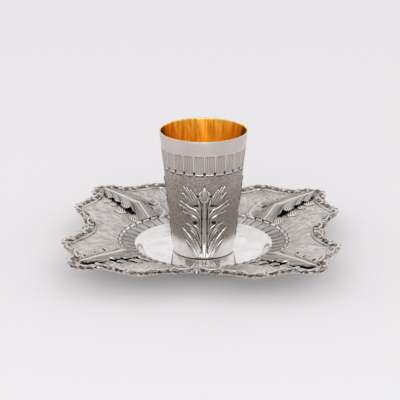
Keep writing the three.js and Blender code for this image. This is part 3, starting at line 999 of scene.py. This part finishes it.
@dataclass
class Border:
    """The cast border of rails, leaves and scrolls.

    Attributes:
        form: the saucer's plan and section.
        inside: how far it reaches over the sheet.
        stations: points along its whole length.
        leaf_pitch: the running leaves' spacing.
        ball_place: distance from the axis to the ball in the middle of each side.
        ball_radius: the ball's radius.
        lumps_seed: the seed of the small lumps between the leaves.
    """

    form: SaucerForm
    inside: float = 3.0
    stations: int = 1680
    leaf_pitch: float = 3.2
    ball_place: float = 78.2
    ball_radius: float = 2.5
    lumps_seed: int = 11

    def path(self) -> tuple[np.ndarray, np.ndarray, np.ndarray, np.ndarray]:
        """Even stations along the sheet's edge.

        Returns:
            Points, outward directions, the border's reach, and the distance along the edge.
        """
        line = self.form.edge()
        closed = np.vstack([line, line[:1]])
        steps = np.hypot(*(closed[1:, :2] - closed[:-1, :2]).T)
        length = np.concatenate([[0], np.cumsum(steps)])
        at = np.linspace(0, length[-1], self.stations, endpoint=False)
        x, y, reach = (np.interp(at, length, closed[:, k]) for k in range(3))
        points = np.stack([x, y], axis=1)
        along = np.roll(points, -3, 0) - np.roll(points, 3, 0)
        along /= np.linalg.norm(along, axis=1)[:, None]
        return points, np.stack([along[:, 1], -along[:, 0]], axis=1), reach, at

    def section(self) -> np.ndarray:
        """One section as (share across, rise): negative shares lie over the sheet."""
        arc = np.linspace(0, 1, 15)
        over = [(-1 + 2 * t, math.sin(math.pi * min(1, t * 1.08)) ** 0.6) for t in arc]
        return np.array(over + [(0.8, -0.8), (0.45, -0.75), (0.22, -0.15), (-1.0, -0.02)])

    def band(self) -> bpy.types.Object:
        """The running band: two rails inside, and a lumpy bed of small leaves outside."""
        points, out, reach, at = self.path()
        section = self.section()
        quarter = (at[1] - at[0]) * self.stations / 4
        side = np.abs((at + quarter / 2) % quarter - quarter / 2)[None, :]
        across, up = section[:, 0][:, None], section[:, 1][:, None]
        warp = 0.9 * np.sin(side / 5.1) + 0.4 * np.sin(side / 1.7 + 1.0)
        leaf = np.abs(np.sin(math.pi * (side / self.leaf_pitch + 1.4 * across + warp))) ** 0.5
        lump = 0.5 + 0.3 * np.sin(side * 0.47 + 2.0 * across) + 0.2 * np.sin(side * 1.31 + 1.0)
        pits = np.clip(blurred(speckle((len(section), self.stations), self.lumps_seed), 2) / 0.3, -1, 1)
        rails = bell(across, -0.84, 0.1) + bell(across, -0.52, 0.1)
        trough = bell(across, -0.27, 0.12)
        on_top = up > 0
        lift = 0.65 + ((0.2 + 0.6 * lump) * leaf + 0.3 * pits) * (across > -0.25)
        height = np.where(on_top, up * lift + 0.5 * rails - 0.4 * trough, up * 1.6)
        stretch = reach[None, :] * (0.6 + 0.16 * leaf + 0.38 * lump)
        offset = np.where(across < 0, across * self.inside, np.clip(across, 0, 1) * stretch)
        xy = points[None, :, :] + offset[:, :, None] * out[None, :, :]
        base = self.form.thickness + self.form.rise(np.hypot(points[:, 0], points[:, 1]))
        z = base[None, :] + height
        grooves = (1 - leaf) ** 1.6 * (across > -0.3) * on_top
        between = bell(across, -0.68, 0.07)
        holes = smoothstep(0.15, 0.5, -pits) * (across > -0.3) * on_top
        tarnish_and_shade = 0.45 * grooves + 0.6 * holes + 0.4 * trough * on_top + 0.6 * between
        tarnish_and_shade = np.clip(tarnish_and_shade, 0, 0.9)
        xyz = np.concatenate([xy, z[:, :, None]], axis=2)
        values = {"tarnish_and_shade": tarnish_and_shade, "matte": 0.7 - 0.2 * leaf * on_top + 0 * tarnish_and_shade}
        loop = lambda grid: np.vstack([grid, grid[:1]])
        values = {key: loop(grid) for key, grid in values.items()}
        band = grid_object("band", Lattice.closed(loop(xyz), values))
        weld(band)
        return band

    def lay(self, middle: int, sign: int, path: np.ndarray) -> np.ndarray:
        """Lays a path of (distance from the side's middle, distance outwards, rise) on the border.

        Args:
            middle: the station in the middle of the side.
            sign: 1 or -1, the way that the distance runs.
            path: the path's points, in millimetres.

        Returns:
            The points in the saucer's frame.
        """
        points, out, _, at = self._path
        station = middle + sign * path[:, 0] / (at[1] - at[0])
        low = np.floor(station).astype(int)
        share = (station - low)[:, None]
        first, second = low % self.stations, (low + 1) % self.stations
        point = points[first] * (1 - share) + points[second] * share
        outward = out[first] * (1 - share) + out[second] * share
        base = self.form.thickness + self.form.rise(np.hypot(point[:, 0], point[:, 1]))
        return np.column_stack([point + outward * path[:, 1][:, None], base + path[:, 2]])

    def rod(self, line: np.ndarray, girth: np.ndarray, around: int = 9) -> bpy.types.Object:
        """A bent rod of changing thickness along a line of points, darkened underneath with painted shade.
        """
        tangent = np.gradient(line, axis=0)
        tangent /= np.linalg.norm(tangent, axis=1)[:, None] + 1e-9
        side = np.cross(tangent, [0.0, 0.0, 1.0])
        side /= np.linalg.norm(side, axis=1)[:, None] + 1e-9
        up = np.cross(side, tangent)
        turn = np.linspace(0, 2 * math.pi, around + 1)
        ring = np.cos(turn)[None, :, None] * side[:, None, :] + np.sin(turn)[None, :, None] * up[:, None, :]
        girth = girth.copy()
        girth[0] = girth[-1] = 0.0
        points = line[:, None, :] + girth[:, None, None] * ring
        # painted shade on the rod's lower side
        low = np.clip(-ring[:, :, 2], 0, 1)
        made = grid_object("rod", Lattice(points, {"tarnish_and_shade": 0.5 * low, "matte": 0.6 + 0 * low}))
        weld(made)
        return made

    def scroll(self, middle: int, sign: int, start: float, end: float, bow: float, shift: float,
               curl: float) -> bpy.types.Object:
        """A long C-scroll along the border, with both of its ends curled.

        Args:
            middle: the station in the middle of the side.
            sign: the way that the distance runs.
            start: where the scroll starts, from the middle of the side.
            end: where it ends.
            bow: how far it bows outwards between its ends.
            shift: how far outwards its ends lie.
            curl: the curls' radius, negative to curl outwards.
        """
        t = np.linspace(0, 1, 26)
        main = np.column_stack([start + (end - start) * t, shift + bow * np.sin(math.pi * t)])
        wind = np.linspace(0, 1, 22)[1:]
        tight = curl * (1 - 0.72 * wind)
        swing = 1.15 * 2 * math.pi * wind
        drop = np.column_stack([np.abs(tight) * np.sin(swing), curl - tight * np.cos(swing)])
        tail = main[-1] + drop * [1, -1]
        head = (main[0] + drop * [-1, -1])[::-1]
        flat = np.vstack([head, main, tail])
        share = np.linspace(0, 1, len(flat))
        rise = 1.6 + 0.45 * np.sin(math.pi * share) - 0.16 * np.maximum(flat[:, 1] - 1.5, 0)
        girth = 0.3 + 0.34 * np.sin(math.pi * share) ** 0.7
        girth += 0.4 * bell(share, 0.015, 0.02) + 0.4 * bell(share, 0.985, 0.02)
        return self.rod(self.lay(middle, sign, np.column_stack([flat, rise])), girth)

    def leaflet(self, middle: int, sign: int, at: float, shift: float, heading: float,
                length: float) -> bpy.types.Object:
        """A small three-fingered leaf on the border.

        Args:
            middle: the station in the middle of the side.
            sign: the way that the distance runs.
            at: its root's distance from the middle of the side.
            shift: its root's distance outwards.
            heading: its direction, in degrees from straight outwards towards the corner.
            length: its length.
        """
        t = np.linspace(0, 1, 10)[:, None]
        v = np.linspace(-1, 1, 11)[None, :]
        fingers = 0.5 + 0.5 * np.cos(3 * math.pi * v)
        width = 0.5 * length * np.sin(math.pi * np.clip(0.12 + 0.8 * t, 0, 1)) ** 0.8
        reach = length * t * (1 - 0.16 * (1 - fingers) * t - 0.22 * v**2 * t)
        side = v * width
        rise = 1.15 + 1.15 * np.sin(math.pi * (0.1 + 0.62 * t)) - 0.6 * v**2 + 0.45 * fingers * t
        c, s = math.cos(math.radians(heading)), math.sin(math.radians(heading))
        path = np.stack([at + reach * s + side * c, shift + reach * c - side * s, rise], axis=2)
        path[:, :, 2] -= 0.22 * np.maximum(path[:, :, 1] - 2.0, 0)
        points = self.lay(middle, sign, path.reshape(-1, 3)).reshape(path.shape)
        dark = np.clip((1 - fingers) * 0.8 + 0.4 * (1 - t), 0, 1)
        leaf = grid_object("leaflet", Lattice(points, {"tarnish_and_shade": dark, "matte": 0.6 + 0 * dark}))
        thicken(leaf, 0.45)
        return leaf

    def build(self, silver: bpy.types.Material) -> bpy.types.Object:
        """Makes the border with its scrolls and dresses it."""
        self._path = self.path()
        parts = [self.band()]
        scrolls = (
            # start, end, bow, shift, curl
            (3.4, 14.6, 1.2, 1.8, 1.3), (18.0, 27.6, 1.0, 1.4, -1.2), (31.4, 41.0, 1.0, 0.6, 1.5),
            (45.0, 54.6, 1.0, 0.6, -1.1), (58.0, 67.6, 0.9, 0.4, 1.3), (71.4, 79.6, 1.0, 0.9, -1.2),
        )
        leaflets = (
            # distance, shift, heading, length
            (1.8, 0.4, 30, 4.0), (10.0, -1.6, -35, 4.2), (15.8, 0.6, -25, 5.6), (17.6, 0.6, 45, 4.6),
            (24.6, -1.4, 10, 4.0), (29.4, 0.4, -20, 4.6), (31.4, 0.0, 40, 4.6), (37.4, -1.2, -10, 4.8),
            (43.2, 0.2, -35, 4.2), (45.0, -0.4, 35, 4.0), (50.8, -1.4, 15, 4.4), (56.2, 0.0, -40, 4.0),
            (58.2, -0.4, 20, 4.4), (64.0, -1.2, -10, 4.2), (70.4, 0.0, -30, 4.4), (72.0, 0.0, 45, 4.2),
            (77.6, -1.0, 5, 4.4), (81.6, 0.2, -10, 4.4),
        )
        for half in range(8):
            middle = (half // 2) * self.stations // 4
            sign = 1 if half % 2 == 0 else -1
            parts += [self.scroll(middle, sign, *spec) for spec in scrolls]
            parts += [self.leaflet(middle, sign, *spec) for spec in leaflets]
        parts += self.rosettes()
        border = join(parts, "border")
        shade(border, 55)
        border.data.materials.clear()
        border.data.materials.append(silver)
        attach(border, BODY)
        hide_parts("saucer_border")
        return border

    def rosettes(self) -> list[bpy.types.Object]:
        """The small ribbed ball in the middle of each side."""
        made = []
        lat = np.linspace(-math.pi / 2, math.pi / 2, 19)[:, None]
        lon = np.linspace(0, 2 * math.pi, 41)[None, :]
        petals = 1 + 0.12 * np.cos(5 * lon) * np.cos(lat)
        size = self.ball_radius * petals
        ball = np.stack(
            [size * np.cos(lat) * np.cos(lon), size * np.cos(lat) * np.sin(lon),
             2.1 * np.sin(lat) + 0 * lon], axis=2
        )
        dark = np.clip(0.5 - 3.5 * (petals - 1), 0, 1) * np.cos(lat) + 0 * lon
        height = self.form.thickness + float(self.form.rise(self.form.side_edge[0][0])) + 0.7
        for turn in range(4):
            x, y = quarter_turned(ball[:, :, 0] + self.ball_place, ball[:, :, 1], turn)
            xyz = np.stack([x, y, ball[:, :, 2] + height], axis=2)
            rosette = grid_object("rosette", Lattice(xyz, {"tarnish_and_shade": dark, "matte": 0.4 + 0 * dark}))
            weld(rosette)
            made.append(rosette)
        return made


@dataclass
class CornerLeaf:
    """An acanthus leaf that arches over one corner of the brim, growing from the corner inwards.

    Its flutes leave the spine near the corner, and sweep back and down to the tips of the lobes.

    Attributes:
        form: the saucer's plan and section.
        root: where it starts near the well, along the diagonal.
        tip: where it ends near the corner.
        spine: the spine's height above the well's floor.
        half_width: half of the width at which its arch comes down to the brim, at the fullest.
        thickness: its wall's thickness.
        sweep: how far its edges lie back towards the well.
        flute_pitch: the flutes' spacing.
        flute_sweep: how far a flute runs back on its way from the spine to the edge.
        root_dip: how much lower the spine starts.
        root_length: how far it takes to rise from that.
        lobes: the lobes of its edge.
        notch: its reach between two lobes.
        notches: shares of the length where the flutes part.
        teeth: how many teeth its edge has.
        claws: the bright fans at the lobes' ends.
    """

    form: SaucerForm
    root: float = 55.0
    tip: float = 104.5
    spine: float = 16.4
    half_width: float = 13.2
    thickness: float = 0.6
    sweep: float = 9.5
    flute_pitch: float = 2.4
    flute_sweep: float = 34.0
    root_dip: float = 8.0
    root_length: float = 14.0
    lobes: tuple[tuple[float, float, float], ...] = (
        # share of the length where the flutes of a lobe start, its half length as a share, its reach
        (0.06, 0.10, 0.84), (0.43, 0.10, 0.84), (0.62, 0.06, 0.74), (0.83, 0.08, 0.82),
    )
    notch: float = 0.54
    notches: tuple[float, ...] = (-0.6, 0.245, 0.545, 0.715, 0.93, 1.3)
    teeth: int = 24
    claws: tuple[tuple[float, float, float, float], ...] = (
        # along, aside, heading towards the well, length
        (61.0, 8.2, 40, 8.6), (72.6, 10.2, 40, 9.4), (81.8, 9.4, 40, 6.0), (91.2, 7.0, 40, 8.4),
    )

    def spine_height(self, along: np.ndarray) -> np.ndarray:
        """The spine's height above the well's floor."""
        dip = 1 - smoothstep(self.root, self.root + self.root_length, along)
        return self.spine - self.root_dip * dip + 1.2 * smoothstep(70, 95, along)

    def arch(self, along: np.ndarray) -> np.ndarray:
        """Half of the width at which the leaf would come down to the brim."""
        share = (along - self.root) / (self.tip - self.root)
        return self.half_width * np.sqrt(np.clip(1 - ((share - 0.22) / 0.84) ** 2, 0.003, 1))

    def world(self, along: np.ndarray, side: np.ndarray, rise: np.ndarray, turn: int) -> np.ndarray:
        """Turns leaf coordinates into places on the saucer."""
        angle = math.pi / 4 + turn * math.pi / 2
        c, s = math.cos(angle), math.sin(angle)
        return np.stack([along * c - side * s, along * s + side * c, rise + self.form.thickness], axis=2)

    def sheet(self, turn: int) -> bpy.types.Object:
        """The upper side of the whole leaf, one net from edge to edge across the spine."""
        t = np.linspace(0, 1, 170)[:, None]
        v = np.linspace(-1, 1, 97)[None, :]
        out = np.abs(v)
        reach = np.full_like(t, self.notch)
        on_lobe = np.zeros_like(t)
        for start, half, far in self.lobes:
            bulge = np.sqrt(np.clip(1 - ((t - start) / half) ** 2, 0, 1))
            reach = np.maximum(reach, self.notch + (far - self.notch) * bulge)
            on_lobe = np.maximum(on_lobe, bulge * (far > 0.8))
        reach = reach + 0.03 * np.cos(2 * math.pi * self.teeth * t)
        far = out * reach
        swept = self.sweep * smoothstep(0.0, 0.3, t) * far**1.5
        along = self.root + (self.tip - self.root) * t - swept
        arch = self.arch(along)
        side = v * reach * arch
        floor = self.form.rise(np.hypot(along, side)) + 0.45
        top = self.spine_height(along)
        crown = np.maximum(top - floor, 0.3)
        rise = floor + crown * (1 - np.clip(np.abs(side) / arch, 0, 1) ** 2.3)
        # The flutes run along the spine at first, then turn down and fan out over their lobe.
        flow = along + self.flute_sweep * np.sqrt(np.abs(side) / arch)
        ends = np.array(self.notches)
        ends = (
            self.root + (self.tip - self.root) * ends
            - self.sweep * smoothstep(0.0, 0.3, ends) * self.notch**1.5
            + self.flute_sweep * math.sqrt(self.notch)
        )
        lobe = np.interp(flow, ends, np.arange(len(ends)))
        swell = np.abs(np.sin(math.pi * lobe)) ** 0.6
        wave = 0.5 - 0.5 * np.cos(2 * math.pi * flow / self.flute_pitch)
        rib = bell(np.abs(side), 0, 0.9, 4)
        furrow = bell(np.abs(side), 1.5, 0.4)
        curl = on_lobe * bell(far, 0.78, 0.06)
        edge = bell(out, 1, 0.06)
        fluted = smoothstep(0.1, 0.25, far)
        rise = rise + fluted * (0.26 * wave + 0.8 * (swell - 0.8)) + 0.2 * rib - 0.15 * furrow
        rise = np.maximum(rise + 0.5 * curl + 0.3 * edge, floor)
        tip_shine = on_lobe * smoothstep(0.7, 0.8, far)
        # dark in the furrow beside the spine; the flutes' valleys and the dips between the lobes' swells
        # are darkened as painted shade
        dark = 0.5 * furrow + fluted * (0.75 * (1 - wave) ** 3 + 0.8 * (1 - swell) ** 2)
        values = {
            "tarnish_and_shade": np.clip(dark, 0, 1) * (1 - 0.85 * edge),
            "matte": np.clip(0.75 - 0.5 * tip_shine - 0.6 * edge - 0.3 * wave, 0, 1),
            # the engraved lines along the flutes also stand in as painted shade on them
            "lines": 2 * flow / self.flute_pitch, "hatched": fluted * 0.7,
        }
        return grid_object("sheet", Lattice(self.world(along, side, rise, turn), values))

    def claw(self, along: float, side: float, heading: float, size: float, turn: int) -> bpy.types.Object:
        """The bright end of a lobe, a fan of five fingers that lies on the brim.

        Args:
            along: where its root lies on the leaf's axis.
            side: its root's distance from the axis, with its sign.
            heading: its direction, in degrees from straight aside towards the well.
            size: its length.
            turn: the corner, in quarter turns.
        """
        t = np.linspace(0, 1, 20)[:, None]
        v = np.linspace(-1, 1, 41)[None, :]
        fingers = 0.5 + 0.5 * np.cos(5 * math.pi * v)
        reach = size * t * (1 - 0.07 * (1 - fingers) * t - 0.28 * v**2 * t)
        across = 0.5 * size * v * (0.3 + 0.8 * t) * (1 - 0.25 * smoothstep(0.75, 1.0, t))
        c, s = math.cos(math.radians(heading)), math.sin(math.radians(heading))
        way = math.copysign(1.0, side)
        a = along - reach * s + across * c
        b = side + way * (reach * c + across * s)
        dome = np.sin(math.pi * np.clip(0.1 + 0.85 * t, 0, 1)) * np.sqrt(np.clip(1.02 - v**2, 0, 1))
        rise = self.form.rise(np.hypot(a, b)) + 0.5 + 0.6 * dome + 0.3 * fingers * dome
        dark = (1 - fingers) ** 1.5 * smoothstep(0.0, 0.2, t) * (1 - smoothstep(0.8, 1.0, t))
        values = {"tarnish_and_shade": np.clip(dark, 0, 1), "matte": 0 * dark}
        return grid_object("claw", Lattice(self.world(a, b, rise, turn), values))

    def build(self, node: str, turn: int, silver: bpy.types.Material) -> bpy.types.Object:
        """Makes one corner's leaf and dresses it."""
        parts = [self.sheet(turn)]
        parts += [self.claw(*spec, turn) for spec in self.claws]
        parts += [self.claw(along, -side, *spec, turn) for along, side, *spec in self.claws]
        for piece in parts:
            weld(piece)
            thicken(piece, self.thickness)
        leaf = join(parts, node.replace("corner_leaf", "acanthus"))
        shade(leaf, 55)
        leaf.data.materials.append(silver)
        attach(leaf, BODY)
        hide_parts(node)
        return leaf


# ---- the studio ----


@dataclass
class Studio:
    """The floor, the light and the camera.

    Attributes:
        azimuth: the camera's turn round the axis, in degrees.
        distance: from the axis to the camera.
        elevation: the camera's height above the table, in degrees.
        aim: the point that it looks at, before its turn.
        lens: its focal length.
        sheet: the thickness of the saucer's sheet, which raises the camera with the well.
    """

    azimuth: float = 3.0
    distance: float = 1174.0
    elevation: float = 20.0
    aim: tuple[float, float, float] = (-2.3, 0.0, 35.4)
    lens: float = 158.5
    sheet: float = 0.9

    def floor(self) -> None:
        """A broad pale sheet under the set."""
        bpy.ops.object.select_all(action="DESELECT")
        bpy.ops.mesh.primitive_plane_add(size=12.0, location=(0, 0, -0.0001))
        plane = bpy.context.object
        plane.name = "floor"
        bpy.ops.object.transform_apply(location=True)
        plane.data.materials.append(PaperFinish("paper").build())

    def sky(self) -> None:
        """Soft light from all round, brightest behind the set and dim overhead."""
        world = bpy.data.worlds.new("studio")
        bpy.context.scene.world = world
        world.use_nodes = True
        graph = Graph(world.node_tree)
        direction = graph.add("TexCoord", {}).outputs["Generated"]
        split = graph.add("SeparateXYZ", {"Vector": direction}).outputs
        slope = graph.math("MULTIPLY_ADD", split["Y"], 0.5, 0.5)
        round_about = graph.ramp(slope, 0.0, (0.86, 0.85, 0.85), 0.75, (1.0, 0.99, 1.0))
        overhead = graph.span(split["Z"], (0.76, 0.97), (0, 0.75), interpolation_type="SMOOTHSTEP")
        colour = graph.mix(overhead, round_about, (0.30, 0.30, 0.32, 1))
        background = world.node_tree.nodes["Background"]
        graph.tree.links.new(colour, background.inputs["Color"])
        background.inputs["Strength"].default_value = 0.95

    def lamp(self, name: str, place: tuple[float, float, float], size: float, watts: float) -> None:
        """A square softbox aimed at the cup."""
        light = bpy.data.lights.new(name, "AREA")
        light.size = size
        light.energy = watts
        obj = bpy.data.objects.new(name, light)
        bpy.context.collection.objects.link(obj)
        obj.location = place
        toward = Vector((0, 0, 0.04)) - Vector(place)
        obj.rotation_euler = toward.to_track_quat("-Z", "Y").to_euler()

    def camera(self) -> None:
        """A long lens from a little above the front."""
        turn, up = math.radians(self.azimuth), math.radians(self.elevation)
        flat = self.distance * math.cos(up)
        data = bpy.data.cameras.new("camera")
        data.lens = self.lens
        data.sensor_width = 36.0
        data.clip_start = 0.05
        data.clip_end = 30.0
        camera = bpy.data.objects.new("camera", data)
        bpy.context.collection.objects.link(camera)
        high = self.distance * math.sin(up) + self.sheet
        place = Vector((flat * math.sin(turn), -flat * math.cos(turn), high))
        aim = Vector((
            self.aim[0] * math.cos(turn) - self.aim[1] * math.sin(turn),
            self.aim[0] * math.sin(turn) + self.aim[1] * math.cos(turn),
            self.aim[2],
        ))
        camera.location = place * MM
        camera.rotation_euler = (aim - place).to_track_quat("-Z", "Y").to_euler()
        bpy.context.scene.camera = camera

    def build(self) -> None:
        """Sets up the whole studio."""
        bpy.context.scene.view_settings.view_transform = "Standard"
        self.camera()
        self.floor()
        self.sky()
        self.lamp("front", (0.0, -2.2, 0.5), 2.4, 18.0)


def main() -> None:
    """Builds the set in order and logs each piece's face count."""
    logging.basicConfig(level=logging.INFO, format="%(name)s: %(message)s")
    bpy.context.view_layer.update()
    Studio().build()
    chased = SilverFinish("chased_silver").build()
    brushed = SilverFinish(
        "brushed_silver", polished=(0.85, 0.845, 0.84), matte=(0.84, 0.80, 0.77),
        polished_roughness=0.06, matte_roughness=0.38, pits=0.2, clouds=0.6, sweep=0.45,
    ).build()
    cast = SilverFinish(
        "cast_silver", polished=(0.92, 0.88, 0.84), matte=(0.73, 0.67, 0.62), oxide_and_shade=(0.09, 0.066, 0.05),
        matte_roughness=0.3, pits=0.3,
    ).build()
    gilt = GiltFinish("gilt").build()
    low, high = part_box("cup")
    pieces = [Cup(Vector(low), Vector(high)).build(chased, gilt)]
    form = SaucerForm()
    pieces.append(Dish(form).build(brushed))
    pieces.append(Border(form).build(cast))
    for turn, name in enumerate(("back_right", "back_left", "front_left", "front_right")):
        pieces.append(CornerLeaf(form).build(f"corner_leaf_{name}", turn, cast))
    for piece in pieces:
        log.info("%s has %d faces", piece.name, len(piece.data.polygons))
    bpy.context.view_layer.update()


if __name__ == "__main__":
    main()
